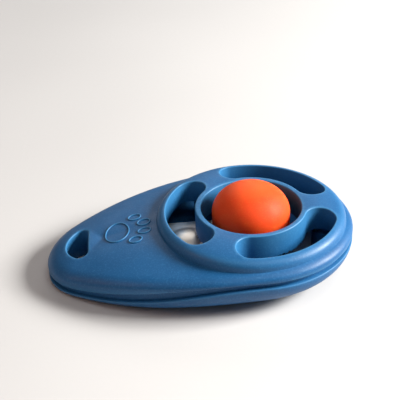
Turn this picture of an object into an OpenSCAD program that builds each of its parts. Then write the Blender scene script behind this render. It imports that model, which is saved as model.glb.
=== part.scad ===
// Handheld training clicker: a two-piece egg-shaped case, a domed push button
// in a raised ring, and a dimpled spring-steel leaf that snaps when it bends.
// Frame: millimetres, +Z up. The origin is on the flat base, midway along the
// case. +X points to the round end, which holds the button; -X to the tip.

/* [Case] */
// Overall length of the case, from the tip to the round end
case_length = 75; // [74:0.5:77]
// Radius of the round end, which is concentric with the button
round_end_r = 24.7; // [24.6:0.1:25.4]
// Radius of the narrow tip
tip_r = 13.95; // [13.5:0.05:14.5]
// Radius of the long side arcs
side_arc_r = 72.25; // [66:0.25:80]
// Wall thickness of both shells
wall = 1.6; // [1.4:0.1:1.8]
// Thickness of the floor
floor_t = 1.1; // [0.9:0.1:1.2]

/* [Parting line] */
// Height that the upper shell's lower edge gains from the tail to the round end
seam_rise = 8.2; // [8.1:0.05:8.3]
// Height of the shadow gap between the shells at the tip and at the round end
shadow_gap = 1.4; // [1.3:0.05:1.45]
// How much higher the shadow gap is along the tail
tail_gap = 1.0; // [0.8:0.05:1.05]
// Depth of the shadow gap, which is also the tongue's inset
tongue_inset = 1.0; // [0.9:0.05:1.1]

/* [Deck] */
// Height of the top of the rounded edge at its highest point
deck_top_z = 11.9; // [11.8:0.05:12.1]
// Radius of the arc that the deck follows, seen from the side
deck_arc_r = 264; // [260:1:275]
// Width of the rounded edge
edge_run = 2.4; // [2:0.1:2.8]
// Height of the rounded edge
edge_rise = 1.3; // [1.2:0.05:1.3]
// Height of the deck's crown above the rounded edge
crown = 2.5; // [2:0.1:2.8]

/* [Button ring] */
// Height of the ring's crest
ring_top_z = 15.3; // [15.2:0.05:15.4]
// Radius of the well that the button stands in
well_r = 12.2; // [12.1:0.05:12.3]
// Radius where the ring's outer wall meets the deck
ring_foot_r = 23; // [22.8:0.1:23.2]
// Thickness of the ring's roof
ring_roof_t = 2.2; // [2:0.1:2.4]
// Height of the lower end of the tube that lines the well
tube_bottom_z = 8.6; // [8.6:0.1:9]

/* [Sound slots] */
// Number of slots round the ring
slot_count = 3; // [3:1:3]
// Inner radius of the slots, from the button axis
slot_inner_r = 13.6; // [13.5:0.05:13.7]
// Width of the slots
slot_width = 7.2; // [6.6:0.1:7.2]
// Angle between the centres of a slot's two round ends
slot_angle = 74; // [66:1:74]
// Thickness of the wall that lines each slot
lining_t = 1.2; // [1:0.1:1.2]

/* [Button] */
// Radius of the button
button_r = 9.5; // [9.2:0.1:9.7]
// Height of the dome above its widest circle
dome_rise = 7.1; // [6.5:0.1:7.3]
// Height of the dome's widest circle
dome_base_z = 13.6; // [13.4:0.1:13.7]
// Wall thickness of the button
button_wall = 1.6; // [1.4:0.1:1.8]
// How far the button travels
press_travel = 2; // [1.5:0.1:2]
// Running clearance of the button's legs in their guides
leg_clearance = 0.08; // [0.06:0.01:0.1]

/* [Click leaf] */
// Thickness of the spring steel
leaf_t = 0.35; // [0.3:0.05:0.4]
// Width of the leaf
leaf_width = 14; // [13:0.5:14]
// Height of the leaf's upper face
leaf_top_z = 7.2; // [7.1:0.05:7.2]
// Place along the case where the clamped end of the leaf starts
leaf_root_x = -16.5; // [-17:0.5:-16.5]
// Place along the case where the leaf starts to bend
bend_x = -8.5; // [-9:0.1:-8.5]
// Place along the case of the leaf's free end
leaf_tip_x = 23; // [22:0.5:24]
// Radius of the stamped dimple
dimple_r = 4.4; // [4:0.1:4.5]
// Height of the stamped dimple
dimple_rise = 0.8; // [0.6:0.1:0.8]
// Place along the case of the dimple's centre
dimple_x = -3; // [-3.5:0.1:-2.6]

/* [Lanyard hole] */
// Place along the case of the hole's straight edge
hole_flat_x = -27.2; // [-27.6:0.1:-27]
// Length of the hole along the case
hole_depth = 5.4; // [5:0.1:5.6]
// Width of the hole across the case
hole_width = 11.6; // [11:0.1:12]
// Radius of the hole's two corners
hole_corner_r = 1.8; // [1.5:0.1:2]
// Wall thickness of the collar round the hole
collar_wall = 1.1; // [0.9:0.1:1.2]

/* [Fasteners] */
// Distance of the case screws from the button axis
screw_circle_r = 18.6; // [18.4:0.1:18.8]
// Diameter of the case screws' shanks
screw_d = 2.2; // [2:0.1:2.3]
// Diameter of the case screws' heads
screw_head_d = 4.2; // [4:0.1:4.2]
// Height of the seat that a case screw's head bears on
screw_seat_z = 4.8; // [4.7:0.1:5]
// Length of the three case screws
screw_length = 7; // [6.6:0.1:7.4]
// Place along the case of the tail screw
tail_screw_x = -22; // [-22.2:0.1:-21.8]
// Length of the tail screw
tail_screw_length = 4.8; // [4.4:0.1:5]

/* [Hidden] */

smooth = 64;          // sides of a round feature
seam_step = 2.5;      // length of one stretch of the parting line, seen from the side
skin_steps = 14;      // points along each arc of the case's outline
eps = 0.02;           // a hair's breadth, so that two faces don't coincide
bite = 0.3;           // how deep one solid is sunk into another that it joins
past = 1;             // how far a cutting solid stands out of what it cuts
deep = 40;            // more than any height in the case

// Case outline: the round end, two side arcs and the tip, each tangent to the next
button_x = case_length / 2 - round_end_r;
tip_x = -case_length / 2 + tip_r;
axis_length = button_x - tip_x;
round_gap = side_arc_r - round_end_r;
tip_gap = side_arc_r - tip_r;
side_back = (axis_length ^ 2 + round_gap ^ 2 - tip_gap ^ 2) / (2 * axis_length);
side_drop = sqrt(round_gap ^ 2 - side_back ^ 2);
side_x = button_x - side_back;
round_end_angle = atan2(side_drop, side_back);
tip_start_angle = atan2(side_drop, tip_x - side_x);

seam_low_z = 1.7;        // height that the parting line's S-curve starts from
seam_start_x = -44;      // where it starts, beyond the tip
seam_level_x = 11;       // where it has risen, near the button
seam_tilt = 0.01;        // how much the whole line falls with each millimetre towards the round end
deck_apex_x = case_length / 3;
tongue_t = 0.7;          // thickness of the lower shell's tongue
tongue_rise = 0.5;       // height of the tongue above the upper shell's edge
tongue_clearance = 0.1;  // gap between the tongue and the upper shell
crown_reach = 34;        // distance from the tip over which the crown grows
tail_gap_reach = 52;     // distance from the tip over which the shadow gap swells and shrinks

slot_outer_r = slot_inner_r + slot_width;
slot_mid_r = slot_inner_r + slot_width / 2;
shoulder_r = 2.2;        // rounding of the ring's outer shoulder
ring_under_z = ring_top_z - ring_roof_t;
tube_outer_r = slot_inner_r + 0.2; // thicker at the lands; the slots trim it elsewhere
ring_cavity_r = ring_foot_r - wall;
lining_bottom_z = tube_bottom_z + 0.4;

joint_z = 7.2;           // height where the shells' screw bosses meet
tail_joint_z = 4.4;      // the same at the tail
boss_r = 2.4;
lower_boss_r = 3.4;
head_clearance = 0.3;    // gap round a screw head in its recess
shank_clearance = 0.05;  // gap round a screw shank in its hole
blind_depth = 0.3;       // free depth past the point of a screw
screw_head_h = 1.5;
tail_seat_z = 2.5;

skirt_bottom_z = tube_bottom_z;
stem_r = 3;
stem_gap = 0.2;          // free play between the button's stem and the leaf
stem_tip_r = 1;          // radius of the stem's flat end
stem_top_z = dome_base_z + dome_rise - button_wall + bite;
leg_half = 3.5;          // half of a leg's length along the case
leg_inner_y = 9;
leg_outer_y = 13;
leg_top_z = tube_bottom_z - 0.2;
leg_bottom_z = floor_t + press_travel + 0.3; // clears the floor when the button is down
leg_root = 1.1;          // how far a leg's bracket reaches into the skirt
leg_join_z = 10;         // top of the bracket that joins a leg to the skirt
guide_wall = 1;
guide_top_z = leg_top_z - press_travel - 0.4; // clears the brackets when the button is down

leaf_bottom_z = leaf_top_z - leaf_t;
clamp_t = 0.8;
clamp_margin = 0.5;      // how far the clamp stays inside the leaf's clamped end
clamp_width = 12;
pedestal_margin = 0.5;   // how far the pedestal under the leaf stands out past the clamp
clamp_screw_d = 1.6;
clamp_screw_head_d = 3.4;
clamp_screw_head_h = 1.2;
clamp_screw_y = 4;
clamp_screw_x = (leaf_root_x + bend_x) / 2;
clamp_screw_bottom_z = 3.2;
collar_joint_z = 2.4;    // height where the two halves of the collar meet

// ---------- outline, parting line and deck ----------

// A point of the outline is [centre x, centre y, radius, angle], for y >= 0
function arc_points(cx, cy, r, from, to, first = 0) =
    [for (i = [first:skin_steps]) [cx, cy, r, from + (to - from) * i / skin_steps]];
half_outline = concat(
    arc_points(button_x, 0, round_end_r, 0, round_end_angle),
    arc_points(side_x, -side_drop, side_arc_r, round_end_angle, tip_start_angle, 1),
    arc_points(tip_x, 0, tip_r, tip_start_angle, 180, 1));
half_count = len(half_outline);

// The outline point moved inwards by an inset, in plan
function inset_x(p, inset) = p[0] + (p[2] - inset) * cos(p[3]);
function inset_y(p, inset) = p[1] + (p[2] - inset) * sin(p[3]);
// Distance from the outline point to the case's long axis, along its normal
function half_width(p) = p[1] == 0 ? p[2] : inset_y(p, 0) / sin(p[3]);

function arc_drop(x, apex_x, r) = (x - apex_x) ^ 2 / (2 * r);
// Part of the parting line's rise that is done at x: an S-curve, seen from the side
function risen(x) = (1 - cos(180 * min(1, (x - seam_start_x) / (seam_level_x - seam_start_x)))) / 2;
function seam_z(x) = seam_low_z + seam_rise * risen(x) - seam_tilt * x;
function along_tail(x, reach) = min(1, (x + case_length / 2) / reach);
function gap_h(x) = shadow_gap + tail_gap * sin(180 * along_tail(x, tail_gap_reach)) ^ 2;
function rim_z(x) = seam_z(x) - gap_h(x);
function deck_z(x) = deck_top_z - arc_drop(x, deck_apex_x, deck_arc_r);
function crown_z(x) = crown * sin(90 * along_tail(x, crown_reach));
// Width of the lower shell's rounded edge, which grows from the tip to the round end
function dish_run(x) = 0.9 + 14 * sin(90 * along_tail(x, case_length));

// A closed ring of points from those of the half outline, mirrored in y
function whole_ring(half) =
    concat(half, [for (i = [half_count - 2:-1:1]) [half[i][0], -half[i][1], half[i][2]]]);

// A solid through a stack of rings, the lowest first. Its top and bottom are
// strips from each point to the mirrored one.
module ring_stack(halves) {
    n = 2 * half_count - 2;
    points = [for (half = halves) each whole_ring(half)];
    sides = [for (k = [0:len(halves) - 2], i = [0:n - 1])
        let (a = k * n + i, b = k * n + (i + 1) % n)
        each [[a, a + n, b + n], [a, b + n, b]]];
    top = (len(halves) - 1) * n;
    caps = [for (i = [0:half_count - 2])
        let (a = i, b = i + 1, c = (n - i - 1) % n, d = (n - i) % n)
        each concat(
            [[a, b, c]],
            a == d ? [] : [[a, c, d]],
            b == c ? [] : [[top + a, top + c, top + b]],
            [[top + a, top + d, top + c]])];
    function has_area(f) = f[0] != f[1] && f[1] != f[2] && f[0] != f[2];
    polyhedron(points, concat(sides, [for (f = caps) if (has_area(f)) f]));
}

// The half ring at an inset, at the height that a function gives for its x
function level_ring(inset, height) =
    [for (p = half_outline) [inset_x(p, inset), inset_y(p, inset), height(inset_x(p, 0))]];

// ---------- shells ----------

// The upper shell's outer form, or its cavity when it is inset and lowered. Its top
// is a rounded edge, and a crown that grows from the edge to the ridge.
module deck_form(inset, lowered) {
    edge_steps = 6;
    crown_steps = [0.2, 0.45, 0.7, 0.88];
    function edge_drop(d) = edge_rise * (1 - sqrt(1 - (1 - min(1, d / edge_run)) ^ 2));
    function deck_point(p, d) =
        let (edge_z = deck_z(inset_x(p, 0)),
             ridge_x = inset_x(p, half_width(p)),
             ridge_rise = deck_z(ridge_x) + crown_z(ridge_x) - edge_z,
             to_ridge = 1 - d / (half_width(p) - inset),
             z = edge_z - edge_drop(d) + ridge_rise * (1 - to_ridge ^ 2))
        [inset_x(p, inset + d), inset_y(p, inset + d), z - lowered];
    function crown_point(p, t) =
        deck_point(p, edge_run + (half_width(p) - inset - edge_run) * t);
    ring_stack(concat(
        [level_ring(inset, function (x) -deep)],
        [for (k = [0:edge_steps])
            [for (p = half_outline) deck_point(p, edge_run * (1 - cos(90 * k / edge_steps)))]],
        [for (t = crown_steps) [for (p = half_outline) crown_point(p, t)]]));
}

// The space below the parting line
module below_seam() {
    from = -case_length / 2 - past;
    line = [for (x = [from:seam_step:seam_level_x]) [x, seam_z(x)]];
    rotate([90, 0, 0]) linear_extrude(height = 2 * deep, center = true)
        polygon(concat([[from, -deep]], line, [[deep, seam_z(deep)], [deep, -deep]]));
}

// A slab with the case's outline at an inset, between two heights
module slab(inset, bottom, top) {
    ring_stack([level_ring(inset, bottom), level_ring(inset, top)]);
}

// The lower shell's outer form, or its cavity when it is inset and raised. It can
// be carried on straight up past the rim.
module dish_form(inset, floor_z, past_rim = 0) {
    steps = 7;
    least_rise = 0.3;
    function rise(x) = max(rim_z(x) - floor_z, least_rise);
    function dish_point(p, a) =
        let (x = inset_x(p, 0), d = inset + (dish_run(x) - inset / 2) * (1 - sin(a)))
        [inset_x(p, d), inset_y(p, d), floor_z + rise(x) * (1 - cos(a))];
    ring_stack(concat(
        [for (k = [0:steps]) [for (p = half_outline) dish_point(p, 90 * k / steps)]],
        past_rim > 0 ? [level_ring(inset, function (x) floor_z + rise(x) + past_rim)] : []));
}

module at_button() {
    translate([button_x, 0, 0]) children();
}

// Places round the button axis, one under each land between two slots
module at_lands(radius) {
    at_button()
        for (i = [0:slot_count - 1]) rotate([0, 0, 360 * i / slot_count])
            translate([radius, 0, 0]) children();
}

module at_tail() {
    translate([tail_screw_x, 0, 0]) children();
}

// The two screws of the clamp, side by side
module at_clamp_screws() {
    for (side = [-1, 1]) translate([clamp_screw_x, side * clamp_screw_y, 0]) children();
}

module rod(r, from, to) {
    translate([0, 0, from]) cylinder(r = r, h = to - from, $fn = smooth);
}

// The raised ring round the well: a crest, a round shoulder and a short wall
module ring_form() {
    crest_r = 14.6;
    crest_arc_r = 24.8;
    crest_steps = 7;
    shoulder_top_z = ring_top_z - 0.8;
    foot_z = deck_top_z - edge_rise;
    crest_width = ring_foot_r - shoulder_r - well_r;
    crest = [for (i = [0:crest_steps])
        let (r = well_r + crest_width * i / crest_steps)
        [r, ring_top_z - arc_drop(r, crest_r, crest_arc_r)]];
    shoulder = [for (a = [75:-15:0])
        [ring_foot_r - shoulder_r * (1 - cos(a)), shoulder_top_z - shoulder_r * (1 - sin(a))]];
    inner = [[well_r - past, foot_z], [well_r - past, crest[0][1]]];
    at_button() rotate_extrude($fn = smooth)
        polygon(concat(inner, crest, shoulder, [[ring_foot_r, foot_z]]));
}

// The form of one slot, centred on +X: an arc with two round ends, grown outwards
module slot_form(grow, bottom_z, top_z) {
    rotate([0, 0, -slot_angle / 2]) rotate_extrude(angle = slot_angle, $fn = smooth)
        translate([slot_inner_r - grow, bottom_z]) square([slot_width + 2 * grow, top_z - bottom_z]);
    for (side = [-1, 1]) rotate([0, 0, side * slot_angle / 2])
        translate([slot_mid_r, 0, 0]) rod(slot_width / 2 + grow, bottom_z, top_z);
}

// Copies round the button axis, one between each two lands
module at_slots() {
    at_button()
        for (i = [0:slot_count - 1]) rotate([0, 0, 360 * (i + 0.5) / slot_count]) children();
}

// D-shaped outline of the lanyard hole, grown outwards for its collar
module hole_shape(grow) {
    corner_y = hole_width / 2 - hole_corner_r;
    half = hole_depth - hole_corner_r;
    arc_r = (half ^ 2 + corner_y ^ 2 - hole_corner_r ^ 2) / (2 * (half - hole_corner_r));
    arc_x = hole_flat_x - hole_depth + arc_r;
    corner_x = hole_flat_x - hole_corner_r;
    bend = atan2(corner_y, corner_x - arc_x);
    corner_steps = 8;
    back_steps = 16;
    corner = [for (i = [0:corner_steps])
        let (a = bend * i / corner_steps, r = hole_corner_r + grow)
        [corner_x + r * cos(a), corner_y + r * sin(a)]];
    back = [for (i = [1:back_steps - 1])
        let (a = bend + (360 - 2 * bend) * i / back_steps, r = arc_r + grow)
        [arc_x + r * cos(a), r * sin(a)]];
    polygon(concat(corner, back,
        [for (i = [corner_steps:-1:0]) [corner[i][0], -corner[i][1]]]));
}

module hole_prism(grow, from, to) {
    translate([0, 0, from]) linear_extrude(height = to - from) hole_shape(grow);
}

// The collar under the lanyard hole, cut off along a slope inside the deck
module upper_collar() {
    low_x = hole_flat_x - hole_depth - collar_wall;
    low_z = deck_z(low_x) - wall / 2;
    slope = atan((deck_z(hole_flat_x) - deck_z(low_x)) / (hole_flat_x - low_x));
    difference() {
        hole_prism(collar_wall, collar_joint_z, deck_top_z);
        translate([low_x, 0, low_z]) rotate([0, -slope, 0])
            translate([-deep / 2, -deep / 2, 0]) cube([deep, deep, deep]);
    }
}

// The step in the upper shell's edge that fits over the lower shell's tongue
module rabbet() {
    outer = tongue_inset - tongue_clearance;
    inner = outer + tongue_t + 2 * tongue_clearance;
    difference() {
        slab(outer, function (x) -deep, function (x) seam_z(x) + tongue_rise + tongue_clearance);
        slab(inner, function (x) -deep - past, function (x) seam_z(x) + deep);
    }
}

// The upper shell's walls, open underneath
module upper_skin() {
    difference() {
        union() {
            deck_form(0, 0);
            ring_form();
        }
        deck_form(wall, wall);
        at_button() rod(ring_cavity_r, -past, ring_under_z);
        below_seam();
        rabbet();
    }
}

module upper_shell() color("steelblue") {
    hole_r = screw_d / 2 + shank_clearance;
    difference() {
        union() {
            upper_skin();
            at_button() rod(tube_outer_r, tube_bottom_z, ring_under_z + bite);
            at_slots() slot_form(lining_t, lining_bottom_z, ring_under_z + bite / 2);
            at_lands(screw_circle_r) rod(boss_r, joint_z, ring_under_z + bite);
            at_tail()
                rod(boss_r, tail_joint_z, deck_z(tail_screw_x) + crown_z(tail_screw_x) - wall / 2);
            upper_collar();
        }
        at_button() rod(well_r, 0, deep);
        at_slots() slot_form(0, tube_bottom_z - past, ring_top_z + past);
        hole_prism(0, 0, deep);
        at_lands(screw_circle_r)
            rod(hole_r, joint_z - past, screw_seat_z + screw_length + blind_depth);
        at_tail()
            rod(hole_r, tail_joint_z - past, tail_seat_z + tail_screw_length + blind_depth);
    }
}

// Two pockets that the button's legs slide in, one on each side of the leaf
module leg_guides() {
    inner_y = leg_inner_y - leg_clearance;
    outer_y = leg_outer_y + leg_clearance;
    half = leg_half + leg_clearance;
    depth = outer_y - inner_y;
    for (side = [0, 1]) at_button() mirror([0, side, 0]) difference() {
        translate([-half - guide_wall, inner_y - guide_wall, floor_t - bite])
            cube([2 * (half + guide_wall), depth + 2 * guide_wall, guide_top_z - floor_t + bite]);
        translate([-half, inner_y, floor_t])
            cube([2 * half, depth, deep]);
    }
}

// The block that the leaf's clamped end is screwed to
module leaf_pedestal() {
    width = clamp_width + 2 * pedestal_margin;
    translate([leaf_root_x, -width / 2, floor_t - bite])
        cube([bend_x - leaf_root_x, width, leaf_bottom_z - floor_t + bite]);
}

// The thin wall that stands on the lower shell's rim and enters the upper shell
module tongue() {
    difference() {
        slab(tongue_inset, function (x) rim_z(x) - bite, function (x) seam_z(x) + tongue_rise);
        slab(tongue_inset + tongue_t, function (x) rim_z(x) - past, function (x) seam_z(x) + deep);
    }
}

// What stands on the lower shell's floor
module floor_features() {
    intersection() {
        union() {
            at_lands(screw_circle_r) rod(lower_boss_r, 0, joint_z);
            at_tail() rod(lower_boss_r, floor_t / 2, tail_joint_z);
            hole_prism(collar_wall, floor_t / 2, collar_joint_z);
            leg_guides();
            leaf_pedestal();
        }
        dish_form(0, 0, deep);
    }
}

// The hole of a case screw, with the recess for its head
module screw_bore(seat_z) {
    rod(screw_head_d / 2 + head_clearance, -past, seat_z);
    rod(screw_d / 2 + shank_clearance, 0, deep);
}

module lower_shell() color("steelblue") {
    difference() {
        union() {
            difference() {
                dish_form(0, 0);
                dish_form(wall, floor_t, deep);
            }
            tongue();
            floor_features();
        }
        at_lands(screw_circle_r) screw_bore(screw_seat_z);
        at_tail() screw_bore(tail_seat_z);
        hole_prism(0, -past, deep);
        at_clamp_screws()
            rod(clamp_screw_d / 2 + shank_clearance, clamp_screw_bottom_z - blind_depth, deep);
    }
}

// ---------- button ----------

// Half of the button's section: an elliptical dome on a straight skirt
module dome_section(r, rise, bottom) {
    polygon(concat([[0, bottom], [r, bottom]],
        [for (a = [0:6:90]) [r * cos(a), dome_base_z + rise * sin(a)]]));
}

// A leg on the +Y side, and the bracket inside the well that carries it
module button_leg() {
    bracket_y = button_r - leg_root;
    bracket_r = well_r - 0.1;
    intersection() {
        translate([-leg_half, bracket_y, leg_top_z - bite / 2])
            cube([2 * leg_half, leg_outer_y - bracket_y, leg_join_z - leg_top_z + bite / 2]);
        rod(bracket_r, 0, deep);
    }
    translate([-leg_half, leg_inner_y, leg_bottom_z])
        cube([2 * leg_half, leg_outer_y - leg_inner_y, leg_top_z - leg_bottom_z]);
}

module button_stem() {
    tip_z = leaf_top_z + stem_gap;
    rotate_extrude($fn = smooth)
        polygon([[0, tip_z], [stem_tip_r, tip_z], [stem_r, skirt_bottom_z],
            [stem_r, stem_top_z], [0, stem_top_z]]);
}

module button() color("orangered") at_button() {
    rotate_extrude($fn = smooth) difference() {
        dome_section(button_r, dome_rise, skirt_bottom_z);
        dome_section(button_r - button_wall, dome_rise - button_wall, skirt_bottom_z - past);
    }
    button_stem();
    for (side = [0, 1]) mirror([0, side, 0]) button_leg();
}

// ---------- click leaf and its clamp ----------

// The two holes that the leaf's clamped end and the clamp share
module clamp_holes() {
    at_clamp_screws() rod(clamp_screw_d / 2 + shank_clearance, 0, deep);
}

module click_leaf_root() color("silver") {
    difference() {
        translate([leaf_root_x, -leaf_width / 2, leaf_bottom_z])
            cube([bend_x - leaf_root_x, leaf_width, leaf_t]);
        clamp_holes();
    }
}

// The free part of the leaf, with its dimple and rounded corners
module click_leaf_blade() color("silver") {
    corner = 3;
    ball_r = (dimple_r ^ 2 + dimple_rise ^ 2) / (2 * dimple_rise);
    ball_z = leaf_bottom_z + dimple_rise - ball_r;
    difference() {
        union() {
            translate([bend_x, -leaf_width / 2, leaf_bottom_z])
                cube([leaf_tip_x - corner - bend_x, leaf_width, leaf_t]);
            translate([leaf_tip_x - corner - eps, -leaf_width / 2 + corner, leaf_bottom_z])
                cube([corner + eps, leaf_width - 2 * corner, leaf_t]);
            for (side = [-1, 1])
                translate([leaf_tip_x - corner, side * (leaf_width / 2 - corner), 0])
                    rod(corner, leaf_bottom_z, leaf_top_z);
        }
        translate([dimple_x, 0, 0]) rod(dimple_r, 0, deep);
    }
    intersection() {
        translate([dimple_x, 0, ball_z]) difference() {
            sphere(r = ball_r + leaf_t, $fn = smooth);
            sphere(r = ball_r, $fn = smooth);
        }
        translate([dimple_x, 0, 0]) rod(dimple_r + bite / 3, leaf_bottom_z, deep);
    }
}

module leaf_clamp() color("gray") {
    difference() {
        translate([leaf_root_x + clamp_margin, -clamp_width / 2, leaf_top_z])
            cube([bend_x - leaf_root_x - 2 * clamp_margin, clamp_width, clamp_t]);
        clamp_holes();
    }
}

// ---------- screws ----------

// A pan-head screw with a cross recess. Its head bears on the plane z = 0 and
// its shank points along +Z.
module screw(shank_d, head_d, head_h, length) {
    recess_w = head_d / 5;
    recess_l = head_d * 0.6;
    recess_depth = head_h * 0.5;
    head = [[0, 0], [head_d / 2, 0], [head_d / 2, -head_h * 0.55],
        [head_d * 0.4, -head_h * 0.9], [head_d * 0.25, -head_h], [0, -head_h]];
    shank = [[0, -eps], [shank_d / 2, -eps], [shank_d / 2, length - shank_d / 2],
        [shank_d / 6, length], [0, length]];
    difference() {
        union() {
            rotate_extrude($fn = smooth) polygon(head);
            rotate_extrude($fn = smooth) polygon(shank);
        }
        for (a = [0, 90]) rotate([0, 0, a])
            translate([-recess_l / 2, -recess_w / 2, -head_h - past])
                cube([recess_l, recess_w, recess_depth + past]);
    }
}

module clamp_screws() color("gray") {
    seat_z = leaf_top_z + clamp_t;
    at_clamp_screws() translate([0, 0, seat_z]) mirror([0, 0, 1])
        screw(clamp_screw_d, clamp_screw_head_d, clamp_screw_head_h, seat_z - clamp_screw_bottom_z);
}

module case_screws() color("gray")
    at_lands(screw_circle_r) translate([0, 0, screw_seat_z])
        screw(screw_d, screw_head_d, screw_head_h, screw_length);

module tail_screw() color("gray")
    at_tail() translate([0, 0, tail_seat_z])
        screw(screw_d, screw_head_d, screw_head_h, tail_screw_length);

upper_shell();
lower_shell();
button();
click_leaf_root();
click_leaf_blade();
leaf_clamp();
clamp_screws();
case_screws();
tail_screw();
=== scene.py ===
"""A handheld training clicker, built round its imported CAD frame.

The two case shells are rebuilt here as fine closed meshes. Each one is a pair of
height fields over the same plan, an outer skin and an inner one, joined by walls
round the outline and round every opening. The plan and the heights follow the
rules of the CAD design: an outline of tangent arcs, an S-curved parting line, a
deck that follows a large arc, and a crowned top with a rounded edge.
"""
import math

import bmesh
import bpy
import numpy as np
from mathutils import Matrix, Vector
from mathutils.geometry import delaunay_2d_cdt
from mathutils.kdtree import KDTree


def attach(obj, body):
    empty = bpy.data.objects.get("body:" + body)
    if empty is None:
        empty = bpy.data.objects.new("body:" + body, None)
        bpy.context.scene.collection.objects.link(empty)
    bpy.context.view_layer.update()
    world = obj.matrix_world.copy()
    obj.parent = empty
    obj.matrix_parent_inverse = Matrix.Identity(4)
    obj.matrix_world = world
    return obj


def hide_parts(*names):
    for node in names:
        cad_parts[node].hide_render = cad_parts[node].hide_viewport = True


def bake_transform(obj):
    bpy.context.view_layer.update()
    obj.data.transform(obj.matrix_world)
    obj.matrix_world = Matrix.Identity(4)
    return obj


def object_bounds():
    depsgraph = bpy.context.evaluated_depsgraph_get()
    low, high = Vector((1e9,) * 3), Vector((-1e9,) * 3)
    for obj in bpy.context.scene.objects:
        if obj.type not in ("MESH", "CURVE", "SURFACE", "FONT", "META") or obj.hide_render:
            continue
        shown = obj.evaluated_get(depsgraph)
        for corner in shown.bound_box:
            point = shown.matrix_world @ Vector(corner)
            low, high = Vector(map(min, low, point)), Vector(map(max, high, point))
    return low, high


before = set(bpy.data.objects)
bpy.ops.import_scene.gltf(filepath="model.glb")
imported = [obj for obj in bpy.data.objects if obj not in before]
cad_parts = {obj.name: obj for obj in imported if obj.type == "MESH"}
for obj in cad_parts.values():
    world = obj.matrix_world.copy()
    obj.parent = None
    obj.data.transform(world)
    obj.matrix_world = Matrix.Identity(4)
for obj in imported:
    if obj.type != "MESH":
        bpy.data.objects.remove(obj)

CAD_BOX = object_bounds()
MM = 0.001
SAME_PLACE = 1e-8
CREASE, SOFT_CREASE = 38, 50

# ---------------------------------------------------------------- dimensions, mm
# Inset is the distance inwards from the case's outline. X is taken along the case.

# The outline: two arcs round the ends and two long side arcs, each tangent to both
CASE_LENGTH = (CAD_BOX[1].x - CAD_BOX[0].x) / MM
ROUND_R = 24.7
TIP_R = 13.95
SIDE_R = 72.25
BUTTON_X = CASE_LENGTH / 2 - ROUND_R
TIP_X = TIP_R - CASE_LENGTH / 2
AXIS_LENGTH = BUTTON_X - TIP_X
SIDE_BACK = (AXIS_LENGTH ** 2 + (SIDE_R - ROUND_R) ** 2 - (SIDE_R - TIP_R) ** 2) / (2 * AXIS_LENGTH)
SIDE_DROP = math.sqrt((SIDE_R - ROUND_R) ** 2 - SIDE_BACK ** 2)
SIDE_X = BUTTON_X - SIDE_BACK
ROUND_ANGLE = math.atan2(SIDE_DROP, SIDE_BACK)
TIP_ANGLE = math.atan2(SIDE_DROP, TIP_X - SIDE_X)

# The parting line, the deck, the gap and tongue between the shells, and the walls
SEAM_LOW, SEAM_RISE, SEAM_START_X, SEAM_LEVEL_X, SEAM_TILT = 1.7, 8.2, -44.0, 11.0, 0.01
DECK_TOP, DECK_APEX_X, DECK_ARC_R = 11.9, CASE_LENGTH / 3, 264.0
EDGE_RUN, EDGE_RISE = 2.4, 1.3
CROWN, CROWN_REACH = 2.5, 34.0
SHADOW_GAP, TAIL_GAP, TAIL_GAP_REACH = 1.4, 1.0, 52.0
TONGUE_INSET, TONGUE_T, TONGUE_RISE, TONGUE_GAP = 1.0, 0.7, 0.5, 0.1
RABBET_IN, RABBET_OUT = TONGUE_INSET - TONGUE_GAP, TONGUE_INSET + TONGUE_T + TONGUE_GAP
WALL, FLOOR_T = 1.6, 1.1
DISH_RUN, DISH_RUN_GROWTH, LEAST_RISE = 0.9, 14.0, 0.3
LIP_R, SEAM_LIP_R = 0.35, 0.22

# The ring round the button, with the well and the sound slots
RING_TOP, WELL_R, RING_FOOT_R, SHOULDER_R = 15.3, 12.2, 23.0, 2.2
CREST_R, CREST_ARC_R = 14.6, 24.8
RING_WALL_SLOPE, RING_FILLET_R = 12, 0.35
RING_UNDER = 13.1
TUBE_BOTTOM = 8.6
LINING, LINING_BOTTOM, ROOF_R = 1.2, TUBE_BOTTOM + 0.4, RING_FOOT_R - WALL
SLOT_COUNT, SLOT_IN, SLOT_OUT, SLOT_HALF = 3, 13.6, 20.8, math.radians(37)
SLOT_MID, SLOT_CAP = (SLOT_IN + SLOT_OUT) / 2, (SLOT_OUT - SLOT_IN) / 2

# The D-shaped lanyard hole: a straight edge, two rounded corners and a large arc
HOLE_FLAT_X, HOLE_DEPTH, HOLE_WIDTH, HOLE_CORNER = -27.2, 5.4, 11.6, 1.8
HOLE_CORNER_X, HOLE_CORNER_Y = HOLE_FLAT_X - HOLE_CORNER, HOLE_WIDTH / 2 - HOLE_CORNER
HOLE_BACK = HOLE_DEPTH - HOLE_CORNER
HOLE_ARC_R = (HOLE_BACK ** 2 + HOLE_CORNER_Y ** 2 - HOLE_CORNER ** 2) / (2 * (HOLE_BACK - HOLE_CORNER))
HOLE_ARC_X = HOLE_FLAT_X - HOLE_DEPTH + HOLE_ARC_R
HOLE_BEND = math.atan2(HOLE_CORNER_Y, HOLE_CORNER_X - HOLE_ARC_X)
COLLAR_JOINT, COLLAR_WALL = 2.4, 1.1

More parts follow.
